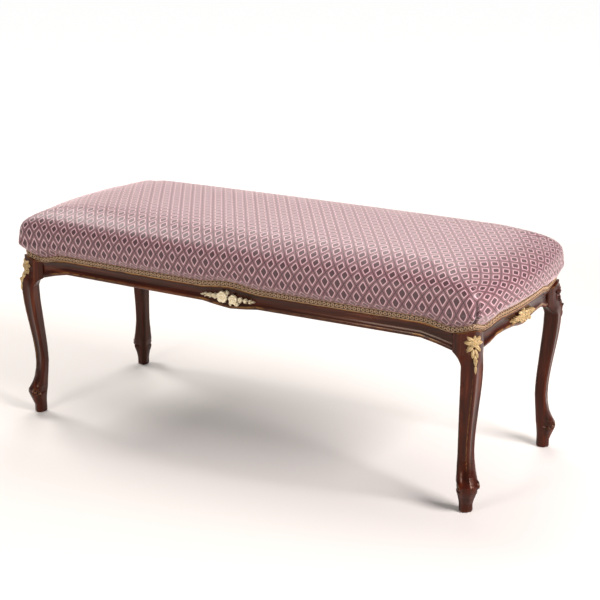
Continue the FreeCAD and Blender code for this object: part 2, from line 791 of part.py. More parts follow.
def build():
    """Every piece of the bench under its own name."""
    play = dowel_radius + dowel_play
    holes = [pin(middle, along, play, dowel_depth + dowel_play) for middle, along in dowel_places()]
    dowels = [pin(middle, along, dowel_radius, dowel_depth) for middle, along in dowel_places()]
    screws = [screw(seat, along, screw_radius, screw_head) for seat, along in screw_seats()]
    wells = [Part.makeCylinder(screw_well, block_run, seat - along * block_run, along)
             for seat, along in screw_seats()]
    screw_set = [set_screw for piece in screws for set_screw in four_corners(piece).values()]

    rear_leg = leg()
    legs = four_corners(rear_leg)
    rear = rear_rail()
    right = right_rail()
    mirrored_rear = rear.mirror(vec(0, 0, 0), vec(0, 1, 0))
    mirrored_right = right.mirror(vec(0, 0, 0), vec(1, 0, 0))
    rails = {"rail_front": mirrored_rear, "rail_rear": rear, "rail_left": mirrored_right,
             "rail_right": right}
    cover, wadding, foam = seat_layers(list(rails.values()) + list(legs.values()))
    carved_rear = rear_carving(rear)
    carved_right = right_carving(right)
    wood_near_knee = rear_leg.fuse(rear).fuse(right)

    pieces = {}
    for corner, shape in four_corners(rear_leg.cut(holes)).items():
        pieces["leg_" + corner] = shape
    for name, shape in rails.items():
        pieces[name] = shape.cut(holes + screw_set)
    pieces["cross_brace"] = cross_brace().cut(holes)
    pieces["rail_dowels"] = Part.makeCompound(dowels)
    for corner, shape in four_corners(corner_block().cut(screws + wells)).items():
        pieces["corner_block_" + corner] = shape
    pieces["corner_block_screws"] = Part.makeCompound(screw_set)
    pieces["webbing_lengthwise"] = Part.makeCompound(lengthwise_webbing())
    pieces["webbing_crosswise"] = Part.makeCompound(crosswise_webbing())
    pieces["base_cloth"] = face_prism(-tack_setback - cloth_margin, cloth_level, seat_level)
    pieces["foam_core"] = foam
    pieces["wadding"] = wadding
    pieces["seat_cover"] = cover
    pieces["gimp_braid"] = gimp_braid()
    pieces["dust_cover"] = dust_cover()
    pieces["carving_rear"] = carved_rear
    pieces["carving_front"] = carved_rear.mirror(vec(0, 0, 0), vec(0, 1, 0))
    pieces["carving_right"] = carved_right
    pieces["carving_left"] = carved_right.mirror(vec(0, 0, 0), vec(1, 0, 0))
    for corner, shape in four_corners(knee_carving(wood_near_knee)).items():
        pieces["knee_carving_" + corner] = shape
    return pieces


os.makedirs("parts", exist_ok=True)
for name, shape in build().items():
    shape.exportStep(os.path.join("parts", name + ".step"))
    print(name, len(shape.Solids), "solids", round(shape.Volume / 1000, 1), "cm3")
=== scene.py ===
# %% [markdown]
# # An upholstered bench on cabriole legs
# The bench's frame comes from the CAD model, in metres, with the floor at z = 0. This lesson dresses it:
# the carved wood is softened and stained, the seat is puffed up by a cloth simulation, and the braid and
# the gilded flowers are made from simple repeated shapes.

# %% Set-up
import math

import bmesh
import bpy
import numpy as np
from mathutils import Matrix, Vector
from mathutils.bvhtree import BVHTree
from mathutils.interpolate import poly_3d_calc


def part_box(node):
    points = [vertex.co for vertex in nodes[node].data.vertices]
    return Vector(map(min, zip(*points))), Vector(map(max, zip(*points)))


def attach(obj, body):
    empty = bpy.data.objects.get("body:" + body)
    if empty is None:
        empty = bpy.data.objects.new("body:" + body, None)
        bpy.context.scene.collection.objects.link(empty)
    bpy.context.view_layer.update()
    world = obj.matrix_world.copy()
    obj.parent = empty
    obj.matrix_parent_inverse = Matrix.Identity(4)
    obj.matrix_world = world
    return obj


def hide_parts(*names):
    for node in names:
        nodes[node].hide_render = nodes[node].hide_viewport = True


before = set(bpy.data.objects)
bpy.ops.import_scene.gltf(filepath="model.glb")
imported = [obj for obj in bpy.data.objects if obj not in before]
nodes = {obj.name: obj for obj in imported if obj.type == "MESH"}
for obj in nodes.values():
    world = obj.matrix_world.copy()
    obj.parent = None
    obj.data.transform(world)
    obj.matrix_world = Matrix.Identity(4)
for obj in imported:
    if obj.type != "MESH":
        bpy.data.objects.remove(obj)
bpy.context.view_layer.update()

MM = 0.001
print("CAD pieces:", len(nodes))

# %% [markdown]
# ## Sizes
# Most places are read from the CAD pieces, so that the looks follow the frame. The others are real sizes
# in millimetres, as an upholsterer would note them down. A quarter of the seat's line has line_points
# points.

# %% Sizes read from the frame
half_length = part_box("rail_right")[1].x
half_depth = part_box("rail_rear")[1].y
butt_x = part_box("rail_rear")[1].x
butt_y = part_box("rail_right")[1].y
seat_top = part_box("seat_cover")[1].z
seat_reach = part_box("seat_cover")[1].x - half_length + 9 * MM
end_bow = 14 * MM
front_bow = 8 * MM
face_corner = 12 * MM
foot_x = 540 * MM
foot_y = 198 * MM
show_edge = 376 * MM
leg_neck = 322 * MM
bulge_height = 430 * MM
bulge_corner = 31 * MM
braid_high = 11.5 * MM
skirt_setback = 2.2 * MM
ear_flare = 9 * MM
ear_half = 33 * MM
line_points = 240
front_radius = (butt_x ** 2 + front_bow ** 2) / (2 * front_bow)
end_radius = (butt_y ** 2 + end_bow ** 2) / (2 * end_bow)
print("seat", round(2 * (half_length + seat_reach), 3), "m long,", round(seat_top, 3), "m high")

# %% [markdown]
# ## Small helpers
# A mesh is made from arrays of points and lists of faces. One function adds a shader or geometry node with
# its settings and links, and another does arithmetic with sockets, so that the materials below stay short.


# %% Node helpers
def colour(code):
    """An sRGB hex colour as linear RGBA."""
    parts = [int(code[i:i + 2], 16) / 255 for i in (0, 2, 4)]
    return [p / 12.92 if p <= 0.04045 else ((p + 0.055) / 1.055) ** 2.4 for p in parts] + [1.0]


def fill(tree, node, inputs):
    """Sets a node's inputs; each is a value or a socket to link from."""
    for key, value in inputs.items():
        if isinstance(value, bpy.types.NodeSocket):
            tree.links.new(value, node.inputs[key])
        else:
            node.inputs[key].default_value = value


def add(tree, kind, inputs=None, **settings):
    """A new node with its settings and inputs."""
    node = tree.nodes.new(kind)
    for name, value in settings.items():
        setattr(node, name, value)
    fill(tree, node, inputs or {})
    return node


def calc(tree, operation, first, second=0.0):
    """The result socket of one step of arithmetic."""
    return add(tree, "ShaderNodeMath", {0: first, 1: second}, operation=operation).outputs[0]


def blend(tree, share, first, second):
    """A colour between two colours."""
    node = add(tree, "ShaderNodeMix", {0: share, 6: first, 7: second}, data_type="RGBA")
    return node.outputs[2]


def step(tree, value, low, high):
    """0 below low, 1 above high and smooth between them."""
    return add(tree, "ShaderNodeMapRange", {0: value, 1: low, 2: high, 3: 0.0, 4: 1.0},
               interpolation_type="SMOOTHSTEP").outputs[0]


def object_place(tree):
    """The place on the piece, in metres."""
    return add(tree, "ShaderNodeTexCoord").outputs["Object"]


def stored(tree, name):
    """A value that each vertex stores."""
    return add(tree, "ShaderNodeAttribute", attribute_name=name).outputs["Fac"]


def noise(tree, place, scale, detail, roughness=0.5):
    """Cloudy noise, mostly between 0.3 and 0.7."""
    return add(tree, "ShaderNodeTexNoise", {"Vector": place, "Scale": scale, "Detail": detail,
                                            "Roughness": roughness}).outputs[0]


def new_material(name):
    """An empty node material with its shader, ready for links."""
    material = bpy.data.materials.new(name)
    material.use_nodes = True
    tree = material.node_tree
    tree.nodes.clear()
    shader = add(tree, "ShaderNodeBsdfPrincipled")
    output = add(tree, "ShaderNodeOutputMaterial")
    tree.links.new(shader.outputs[0], output.inputs["Surface"])
    return material, tree, shader


print("node helpers ready")


# %% Mesh helpers
def dress(mesh, material):
    """Gives the whole mesh one material."""
    mesh.materials.clear()
    mesh.materials.append(material)


def new_piece(name, mesh, material=None):
    """An object at the origin for a mesh."""
    piece = bpy.data.objects.new(name.replace(" ", "_"), mesh)
    bpy.context.scene.collection.objects.link(piece)
    if material:
        dress(mesh, material)
    return piece


def new_mesh(name, points, faces):
    """A mesh from points and from faces that name their points."""
    mesh = bpy.data.meshes.new(name)
    mesh.from_pydata([tuple(p) for p in points], [], faces)
    mesh.update()
    return mesh


def baked(piece):
    """The piece's mesh with its modifiers applied."""
    graph = bpy.context.evaluated_depsgraph_get()
    graph.update()
    return bpy.data.meshes.new_from_object(piece.evaluated_get(graph))


def settle(piece):
    """Applies the piece's modifiers to its mesh."""
    mesh = baked(piece)
    piece.modifiers.clear()
    piece.data = mesh
    return mesh


def add_cells(piece, size):
    """A modifier that rebuilds the piece in even cells."""
    remesh = piece.modifiers.new("cells", "REMESH")
    remesh.mode = "VOXEL"
    remesh.voxel_size = size
    remesh.use_smooth_shade = True


def add_softening(piece, passes):
    """A modifier that relaxes the piece's mesh."""
    soften = piece.modifiers.new("relax", "SMOOTH")
    soften.factor = 0.5
    soften.iterations = passes
    return soften


def hand_over(piece, slot, *replaced):
    """The finished piece moves with the bench, and the named CAD nodes are hidden."""
    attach(piece, "root")
    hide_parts(*replaced)


def vertex_array(mesh, source="vertices", name="co"):
    """A vector of each vertex, as rows of x, y and z."""
    values = np.zeros(len(mesh.vertices) * 3, np.float32)
    getattr(mesh, source).foreach_get(name, values)
    return values.reshape(-1, 3).astype(float)


print("mesh helpers ready")

# %% [markdown]
# ## Wood
# The real frame is stained dark like mahogany and polished, and its ridges were given a rub of gold paint.
# The grain is a stretched noise along each piece, with lighter streaks that are partly wear and partly
# painted glints.
# Each vertex stores how far it stands proud of its neighbours: where that value is high the material shows
# gold, partly a real rub and partly a painted highlight, and where it is low it paints shade into the
# hollows.


# %% Wood materials
def polished_wood(name, grain, gold, shine):
    """Mahogany stain under a semi-gloss polish.

    The grain holds the noise scale along each axis, per metre. Gold tells how much gold the ridges get,
    partly a real rub and partly a painted highlight, and how strong the streaks of wear and painted glints
    are. Shine tells how far the polish was brought up; gold and shine both run from 0 to 1.
    """
    material, tree, shader = new_material(name)
    place = object_place(tree)
    along = add(tree, "ShaderNodeMapping", {"Vector": place, "Scale": grain}).outputs[0]
    streaks = noise(tree, along, 1.0, 5.0, 0.6)
    clouds = noise(tree, place, 14.0, 3.0)
    dark = blend(tree, step(tree, streaks, 0.3, 0.7), colour("1c0603"), colour("4a1608"))
    stained = blend(tree, calc(tree, "MULTIPLY", clouds, 0.5), dark, colour("220904"))
    # Lighter gold-brown streaks along the grain: partly wear, partly painted glints.
    wear_and_glints = calc(tree, "MULTIPLY", step(tree, streaks, 0.56, 0.72), 0.32 * gold)
    stained = blend(tree, wear_and_glints, stained, colour("8f5230"))
    # Gold where the mark is high: partly a real rub of gold paint, partly a painted highlight.
    proud = stored(tree, "proud")
    patchy = noise(tree, place, 60.0, 4.0)
    gold_rub_and_highlight = calc(tree, "MULTIPLY", step(tree, proud, 0.66, 1.0), step(tree, patchy, 0.32, 0.6))
    gold_rub_and_highlight = calc(tree, "MULTIPLY", gold_rub_and_highlight, gold)
    # Painted shade: the hollows darken towards 120504.
    hollow = calc(tree, "MULTIPLY", step(tree, calc(tree, "SUBTRACT", 1.0, proud), 0.55, 0.85), 0.7)
    shaded = blend(tree, hollow, stained, colour("120504"))
    gloss = add(tree, "ShaderNodeMapRange", {0: clouds, 3: 0.26 - 0.1 * shine, 4: 0.38 - 0.12 * shine})
    bump = add(tree, "ShaderNodeBump", {"Height": streaks, "Strength": 0.12, "Distance": 0.0006})
    fill(tree, shader, {
        "Base Color": blend(tree, gold_rub_and_highlight, shaded, colour("a5763c")),
        "Metallic": calc(tree, "MULTIPLY", gold_rub_and_highlight, 0.4),
        "Roughness": gloss.outputs[0], "Specular IOR Level": 0.2 + 0.3 * shine,
        "Specular Tint": colour("ffd2b8"), "Coat Weight": 0.05 + 0.3 * shine, "Coat Roughness": 0.1,
        "Normal": bump.outputs[0]})
    return material


def plain_material(name, first, second, scale, roughness, metallic=0.0):
    """A matt material whose two colours mix in fine spots, for what lies inside the seat."""
    material, tree, shader = new_material(name)
    spots = noise(tree, object_place(tree), scale, 3.0)
    fill(tree, shader, {"Base Color": blend(tree, spots, colour(first), colour(second)),
                        "Roughness": roughness, "Metallic": metallic})
    return material


wood_along_x = polished_wood("mahogany stain, grain along the bench", (5.0, 90.0, 90.0), 0.95, 0.3)
wood_along_y = polished_wood("mahogany stain, grain across the bench", (90.0, 5.0, 90.0), 0.95, 0.3)
wood_upright = polished_wood("mahogany stain, grain upright", (90.0, 90.0, 6.0), 0.6, 0.2)
frame_wood = plain_material("bare beech", "b98f5f", "cfa878", 120.0, 0.6)
steel = plain_material("zinc-plated steel", "8c8c8a", "a5a5a2", 300.0, 0.35, 1.0)
print("wood materials ready")

# %% [markdown]
# ## Legs and rails
# A carver leaves no hard edges on a leg. A copy of each leg is rebuilt in small even cells and relaxed,
# which rounds its edges by about a millimetre. The rails keep their crisp moulding and only get smooth
# shading across the bead and the cove.


# %% Ridges and hollows
def mark_proud(mesh, strength, passes, joint=0.0):
    """Stores how far each vertex stands out from its neighbours: 0.5 is level, 1 a ridge, 0 a hollow.

    Vertices within the joint's width of where a leg and a rail meet count as level, and so do ridges that
    face
    down: nobody rubs gold there, and no painted highlight goes there.
    """
    points = vertex_array(mesh)
    normals = vertex_array(mesh, "vertex_normals", "vector")
    ends = np.zeros(len(mesh.edges) * 2, np.int32)
    mesh.edges.foreach_get("vertices", ends)
    first, second = ends.reshape(-1, 2).T
    way = points[second] - points[first]
    way /= np.maximum(np.linalg.norm(way, axis=1, keepdims=True), 1e-9)
    count = np.maximum(np.bincount(np.r_[first, second], minlength=len(points)), 1)

    def gather(at_first, at_second):
        total = np.bincount(first, at_first, len(points)) + np.bincount(second, at_second, len(points))
        return total / count

    value = gather(-(normals[first] * way).sum(1), (normals[second] * way).sum(1))
    for _ in range(passes):
        value = 0.5 * value + 0.5 * gather(value[second], value[first])
    x, y = np.abs(points[:, 0]), np.abs(points[:, 1])
    off_end = np.where(x < butt_x + joint, np.abs(x - butt_x), np.abs(y - butt_y))
    value = np.where((off_end < joint) & (points[:, 2] > leg_neck), 0, value)
    value = np.where(normals[:, 2] < -0.35, np.minimum(value, 0), value)
    attribute = mesh.attributes.new("proud", "FLOAT", "POINT")
    attribute.data.foreach_set("value", np.clip(0.5 + strength * value, 0, 1).astype(np.float32))


print("ridge marks ready")


# %% Copies of the CAD pieces
def merged_copy(node, sharp_angle):
    """A copy of a CAD mesh with joined vertices; edges sharper than the angle stay crisp."""
    shape = bmesh.new()
    shape.from_mesh(nodes[node].data)
    bmesh.ops.remove_doubles(shape, verts=shape.verts, dist=0.02 * MM)
    bmesh.ops.dissolve_limit(shape, angle_limit=math.radians(1), verts=shape.verts, edges=shape.edges)
    bmesh.ops.triangulate(shape, faces=shape.faces, ngon_method="BEAUTY")
    for edge in shape.edges:
        edge.smooth = edge.calc_face_angle(0) < sharp_angle
    for face in shape.faces:
        face.smooth = True
    mesh = bpy.data.meshes.new(node + " copy")
    shape.to_mesh(mesh)
    shape.free()
    return mesh


def carved_copy(node, cell, relax):
    """A copy of a CAD mesh rebuilt in even cells and relaxed, so that its edges are soft."""
    piece = new_piece("carved " + node, merged_copy(node, math.pi))
    add_cells(piece, cell)
    add_softening(piece, relax)
    settle(piece)
    return piece


print("crisp and carved copies ready")

# %% [markdown]
# ## Carving the legs
# The toe swells out to the carver's line, and a scroll is sunk into each of its sides. Short tables give,
# for each height, how far the toe reaches out and half of its width.


# %% Toe, scroll and painted highlight lines
def soft_share(value, low, high):
    """0 below low and 1 above high, smooth between them."""
    share = np.clip((value - low) / (high - low), 0, 1)
    return share * share * (3 - 2 * share)


def corner_signs(corner):
    """Which way the corner lies from the middle, in X and in Y."""
    return np.array([1 if corner.endswith("right") else -1, 1 if corner.startswith("rear") else -1])


def leg_place(points, corner):
    """How far each point lies out along the leg's diagonal, and aside of it."""
    local = points[:, :2] * corner_signs(corner) - (foot_x, foot_y)
    return local.sum(1) * math.sqrt(0.5), (local[:, 1] - local[:, 0]) * math.sqrt(0.5)


def relax_where(leg, weights, passes):
    """Relaxes the leg's mesh where the weights are high."""
    group = leg.vertex_groups.new(name="blend")
    for index in np.nonzero(weights > 0.02)[0]:
        group.add([int(index)], float(weights[index]), "REPLACE")
    add_softening(leg, passes).vertex_group = group.name
    settle(leg)
    leg.vertex_groups.clear()


def carve_leg(leg, corner):
    """Blends neck and toe into the leg, gives the toe its line and sinks a scroll into its sides."""
    heights = np.array([10, 18, 26, 34, 42, 50, 56, 64, 74, 86, 104]) * MM
    reach = np.array([13.5, 15, 17.8, 21, 24.8, 27.6, 26.6, 22.2, 16.5, 11.8, 8]) * MM
    half = np.array([14.3, 14.6, 15.6, 17.8, 20.8, 22.8, 23, 22.4, 21.2, 19.6, 18.2]) * MM
    points = vertex_array(leg.data)
    z = points[:, 2]
    at_toe = soft_share(z, heights[0], heights[2]) * (1 - soft_share(z, heights[-3], heights[-1]))
    from_joint = np.minimum(np.abs(points[:, 0]) - butt_x, np.abs(points[:, 1]) - butt_y)
    neck_low, neck_high, neck_run = 312 * MM, 330 * MM, 20 * MM
    at_neck = soft_share(z, neck_low - neck_run, neck_low) * soft_share(from_joint, 2 * MM, 9 * MM)
    at_neck = at_neck * (1 - soft_share(z, neck_high, neck_high + neck_run))
    relax_where(leg, np.maximum(at_toe, at_neck), 50)
    points = vertex_array(leg.data)
    z = points[:, 2]
    out, aside = leg_place(points, corner)
    slab = 2 * MM
    layer = np.clip((z / slab).astype(int), 0, 60)
    found_reach, found_half = np.full(61, 1e-6), np.full(61, 1e-6)
    np.maximum.at(found_reach, layer, out)
    np.maximum.at(found_half, layer, np.abs(aside))
    middles = (np.arange(61) + 0.5) * slab
    stretch = np.interp(z, heights, reach) / np.interp(z, middles, found_reach)
    widen = np.interp(z, heights, half) / np.interp(z, middles, found_half)
    out = np.where(out > 0, out * (1 + at_toe * (stretch - 1)), out)
    aside = aside * (1 + at_toe * (widen - 1))
    eye_out, eye_height, scroll_radius = 12.5 * MM, 51 * MM, 5 * MM
    groove_depth, groove_half, ridge_half = 2 * MM, 1.5 * MM, 8 * MM
    from_eye = np.hypot(out - eye_out, z - eye_height)
    groove = groove_depth * np.exp(-((from_eye - scroll_radius) / groove_half) ** 2)
    aside = aside - np.sign(aside) * np.where(np.abs(aside) > ridge_half, groove, 0)
    sign = corner_signs(corner)
    points[:, 0] = sign[0] * (foot_x + (out - aside) * math.sqrt(0.5))
    points[:, 1] = sign[1] * (foot_y + (out + aside) * math.sqrt(0.5))
    leg.data.vertices.foreach_set("co", points.astype(np.float32).ravel())
    leg.data.update()


def paint_ridge_highlights(mesh, corner):
    """Two fine painted highlight lines, in gold, down the front ridge of a leg, from the knee to the toe."""
    points = vertex_array(mesh)
    out, aside = leg_place(points, corner)
    run = soft_share(points[:, 2], 66 * MM, 90 * MM) * (1 - soft_share(points[:, 2], 280 * MM, 300 * MM))
    off_ridge, line_half = 4 * MM, 0.9 * MM
    line = np.exp(-((np.abs(aside) - off_ridge) / line_half) ** 2) * (out > 0) * run
    attribute = mesh.attributes["proud"]
    value = np.zeros(len(points), np.float32)
    attribute.data.foreach_get("value", value)
    attribute.data.foreach_set("value", np.maximum(value, line).astype(np.float32))


print("leg carving ready")

# %% Legs and rails
corners = ["front_left", "front_right", "rear_left", "rear_right"]
for corner in corners:
    leg = carved_copy("leg_" + corner, 1.15 * MM, 3)
    carve_leg(leg, corner)
    mark_proud(leg.data, 4.0, 4, 5 * MM)
    # Painted highlight: two fine gold lines down the leg's ridge.
    paint_ridge_highlights(leg.data, corner)
    dress(leg.data, wood_upright)
    hand_over(leg, "polished_wood", "leg_" + corner)
    print(leg.name, len(leg.data.polygons), "faces")
rail_woods = {"front": wood_along_x, "rear": wood_along_x, "left": wood_along_y, "right": wood_along_y}
for side, wood in rail_woods.items():
    rail = new_piece("moulded rail " + side, merged_copy("rail_" + side, math.radians(38)), wood)
    # The gold on the rail's bead is partly a painted highlight, and its hollows get painted shade.
    mark_proud(rail.data, 2.8, 0, 5 * MM)
    hand_over(rail, "polished_wood", "rail_" + side)
    print(rail.name, len(rail.data.polygons), "faces")

# %% [markdown]
# ## The line that the seat and the braid follow
# Seen from above, the seat has two long and two short bowed sides with rounded corners. Arcs that run into
# each other give that line. Its points are spread evenly, so that the loops of the braid come out evenly
# too.


# %% Outline and edge heights
def quarter_line(length, depth, corner):
    """Points and outward directions from the middle of the rear to the middle of the right end."""
    end_x = length - end_radius
    rear_y = depth - front_radius
    to_end = end_radius - corner
    span = math.hypot(end_x, rear_y)
    along = (to_end ** 2 - (front_radius - corner) ** 2 + span ** 2) / (2 * span)
    across = math.sqrt(to_end ** 2 - along ** 2)
    x = end_x * (1 - along / span) - rear_y / span * across
    y = rear_y * along / span - end_x / span * across
    end_turn = math.atan2(y, x - end_x)
    rear_turn = math.atan2(y - rear_y, x)
    runs = [front_radius * (math.pi / 2 - rear_turn), corner * (rear_turn - end_turn), end_radius * end_turn]
    way = np.linspace(0, sum(runs), line_points, endpoint=False)
    turn = np.where(way < runs[0], math.pi / 2 - way / front_radius, 0)
    on_corner = (way >= runs[0]) & (way < runs[0] + runs[1])
    turn = np.where(on_corner, rear_turn - (way - runs[0]) / corner, turn)
    on_end = way >= runs[0] + runs[1]
    turn = np.where(on_end, end_turn - (way - runs[0] - runs[1]) / end_radius, turn)
    middle_x = np.where(on_corner, x, np.where(on_end, end_x, 0.0))
    middle_y = np.where(on_corner, y, np.where(on_end, 0.0, rear_y))
    radius = np.where(on_corner, corner, np.where(on_end, end_radius, front_radius))
    out = np.c_[np.cos(turn), np.sin(turn)]
    return np.c_[middle_x, middle_y] + out * radius[:, None], out


def closed_line(length, depth, corner):
    """The whole line and its outward directions, clockwise from the middle of the rear."""
    quarter, out = quarter_line(length, depth, corner)
    parts, ways = [quarter], [out]
    for flip_x, flip_y in ((1, -1), (-1, -1), (-1, 1)):
        flip = np.array([flip_x, flip_y])
        points, turned = quarter * flip, out * flip
        if flip_x != flip_y:
            points, turned = np.roll(points[::-1], 1, 0), np.roll(turned[::-1], 1, 0)
            points[0] = (length, 0) if flip_x > 0 else (-length, 0)
            turned[0] = (1, 0) if flip_x > 0 else (-1, 0)
        parts.append(points)
        ways.append(turned)
    return np.concatenate(parts), np.concatenate(ways)


def swell(u):
    """A smooth rise from 0 at -1 to 1 at 0 and back to 0 at 1."""
    return np.where(np.abs(u) < 1, 0.5 + 0.5 * np.cos(math.pi * np.clip(u, -1, 1)), 0)


def corner_share(points):
    """1 over the middle of a leg's ear, falling to 0 at its sides."""
    x, y = np.abs(points[:, 0]), np.abs(points[:, 1])
    across = ((x - foot_x) - (y - foot_y)) * math.sqrt(0.5)
    return swell(across / ear_half) * (x > butt_x) * (y > butt_y)


def polished_edge(points):
    """Height of the wood's upper edge: it dips beside the legs, and rises over the ears and carvings."""
    x, y = np.abs(points[:, 0]), np.abs(points[:, 1])
    dip_run, dip, crest, crest_half, ear_rise = 62 * MM, 11 * MM, 7 * MM, 80 * MM, 12 * MM
    long_side = show_edge + crest * swell(x / crest_half) - dip * swell((butt_x - x) / dip_run)
    short_side = show_edge - dip * swell((butt_y - y) / dip_run)
    ear = show_edge - dip + ear_rise * corner_share(points)
    return np.where(x < butt_x, long_side, np.where(y < butt_y, short_side, ear))


def flared(points, amount):
    """Points moved out over the ears."""
    return points + np.sign(points) * (corner_share(points) * amount * math.sqrt(0.5))[:, None]


base_line, base_out = closed_line(half_length, half_depth, face_corner)
print("line:", len(base_line), "points")

# %% [markdown]
# ## The seat's form
# An upholsterer stuffs the seat high in the middle and draws the cover down over the edge, so the sides
# bulge and then tuck in behind the braid. Rings around the line above give that form. Each ring also
# carries cloth coordinates: how far the cloth has run from the middle of the seat, so that the pattern
# keeps its size over the bend.


# %% Seat form with cloth coordinates
def seat_rings(shrink):
    """Rings from the crown down behind the braid: points (ring, place, xyz)."""
    rings = []
    tuck = seat_reach + skirt_setback
    braid_top = polished_edge(base_line) + braid_high
    for inset in np.linspace(0.97, 0, 26) ** 2:
        fullness = (1 - (1 - inset) ** 4) ** 0.37
        length = (half_length + seat_reach - shrink) * (1 - 0.82 * inset)
        depth = (half_depth + seat_reach - shrink) * (1 - inset)
        corner = min((bulge_corner - shrink) * (1 + 1.5 * inset), depth * 0.7)
        line, _ = closed_line(length, depth, corner)
        height = bulge_height + (seat_top - shrink - bulge_height) * fullness
        rings.append(np.c_[line, np.full(len(line), height)])
    for share in np.linspace(0.1, 1, 10):
        inset = tuck * share ** 3
        reach = seat_reach - shrink - inset
        corner = bulge_corner - inset * 0.7
        line, _ = closed_line(half_length + reach, half_depth + reach, corner)
        line = flared(line, ear_flare * share)
        rings.append(np.c_[line, bulge_height - (bulge_height - braid_top) * share])
    low = rings[-1].copy()
    low[:, 2] -= braid_high * 0.7
    rings.append(low)
    return np.array(rings)


def ring_faces(ring_count, place_count):
    """Four-sided faces between neighbouring rings."""
    faces = []
    for ring in range(ring_count - 1):
        for place in range(place_count):
            following = (place + 1) % place_count
            faces.append((ring * place_count + place, ring * place_count + following,
                          (ring + 1) * place_count + following, (ring + 1) * place_count + place))
    return faces


def cloth_coordinates(rings):
    """Where each point lies on the flat cloth.

    The cloth runs down each side as far as it does at the side's middle, so that its rows lie level around
    the seat. On top it lies flat, with the length that the bend uses up put in front of each row.
    """
    def run_down(place, axis):
        steps = np.diff(rings[:, place], axis=0)
        length = np.hypot(steps[:, axis], steps[:, 2])
        run = rings[0, place, axis] + np.r_[0, np.cumsum(length)]
        return run[:, None], (run - rings[:, place, axis])[:, None]

    at_side = soft_share(np.arange(len(rings)), 16, 23)[:, None]
    long_run, long_spare = run_down(0, 1)
    end_run, end_spare = run_down(line_points, 0)
    x, y = rings[:, :, 0], rings[:, :, 1]
    over_end = np.sign(x) * ((np.abs(x) + end_spare) * (1 - at_side) + end_run * at_side)
    over_long = np.sign(y) * ((np.abs(y) + long_spare) * (1 - at_side) + long_run * at_side)
    to_end = (np.abs(base_line[:, 0]) - foot_x) > (np.abs(base_line[:, 1]) - foot_y)
    return np.stack([np.where(to_end, over_end, x), np.where(to_end, y, over_long)], axis=2)


outer = seat_rings(0)
seat_cloth = cloth_coordinates(outer).reshape(-1, 2)
place_count = outer.shape[1]
faces = ring_faces(len(outer), place_count)
crown_cap = tuple(range(place_count))
foot_cap = tuple(reversed(range((len(outer) - 1) * place_count, len(outer) * place_count)))
template = new_mesh("seat form", outer.reshape(-1, 3), faces + [crown_cap])
print("seat form:", len(template.polygons), "faces")

# %% [markdown]
# ## Puffing the seat up
# A slightly smaller closed form is rebuilt in even cells and blown up as cloth, with the strip behind the
# braid held fast. No point may move more than a few millimetres, as stuffing under a tight cover can't.
# The cloth then gets the pattern's coordinates from the nearest place on the form above, and a pleat at
# each corner.

# %% Cloth simulation of the cover
room_to_swell = 2.5 * MM
cover_cell = 6.6 * MM
stuffed = seat_rings(room_to_swell).reshape(-1, 3)
cover = new_piece("satin seat cover", new_mesh("seat cover", stuffed, faces + [crown_cap, foot_cap]))
shape = bmesh.new()
shape.from_mesh(cover.data)
bmesh.ops.recalc_face_normals(shape, faces=shape.faces)
shape.to_mesh(cover.data)
shape.free()
add_cells(cover, cover_cell)
cover_mesh = settle(cover)
rest = vertex_array(cover_mesh)
held = cover.vertex_groups.new(name="held behind the braid")
low_limit = bulge_height - 22 * MM
held.add([int(i) for i in np.nonzero(rest[:, 2] < low_limit)[0]], 1.0, "REPLACE")
cloth = cover.modifiers.new("cloth", "CLOTH")
cloth.settings.quality = 4
cloth.settings.mass = 0.3
cloth.settings.tension_stiffness = 25
cloth.settings.compression_stiffness = 10
cloth.settings.bending_stiffness = 0.6
cloth.settings.use_pressure = True
cloth.settings.uniform_pressure_force = 4.0
cloth.settings.vertex_group_mass = held.name
cloth.settings.effector_weights.gravity = 0
cloth.collision_settings.use_collision = False
cloth.point_cache.frame_start = 1
cloth.point_cache.frame_end = 20
for frame_number in range(1, 21):
    bpy.context.scene.frame_set(frame_number)
blown = vertex_array(baked(cover))
cover.modifiers.clear()
bpy.context.scene.frame_set(1)
move = blown - rest
size = np.linalg.norm(move, axis=1, keepdims=True)
cap = 4 * MM
rest = rest + move * np.minimum(1, cap / np.maximum(size, 1e-9))
print("cloth moved up to", round(float(size.max()) / MM, 1), "mm before the cap")
print("stuffed cover:", len(rest), "points")


# %% Pleats and pattern coordinates
def pleat(points):
    """A fold at each corner, from the braid up to the bend of the seat: a furrow with one full lip.

    Returns the moved points and how deep each lies in the fold, from 0 to 1.
    """
    x, y = np.abs(points[:, 0]), np.abs(points[:, 1])
    across = ((x - foot_x) - (y - foot_y)) * math.sqrt(0.5)
    near = (x > butt_x) & (y > butt_y)
    fold_top, fold_run, furrow_half, furrow_depth = 452 * MM, 40 * MM, 3.5 * MM, 7 * MM
    lip_off, lip_half, lip_high = 8 * MM, 5 * MM, 2.5 * MM
    rise = soft_share(fold_top - points[:, 2], 0, fold_run) * near
    furrow = np.exp(-(across / furrow_half) ** 2) * rise
    lip = np.exp(-((across + lip_off) / lip_half) ** 2) * rise
    amount = lip_high * lip - furrow_depth * furrow
    moved = points.copy()
    moved[:, :2] += np.sign(points[:, :2]) * (amount * math.sqrt(0.5))[:, None]
    return moved, furrow


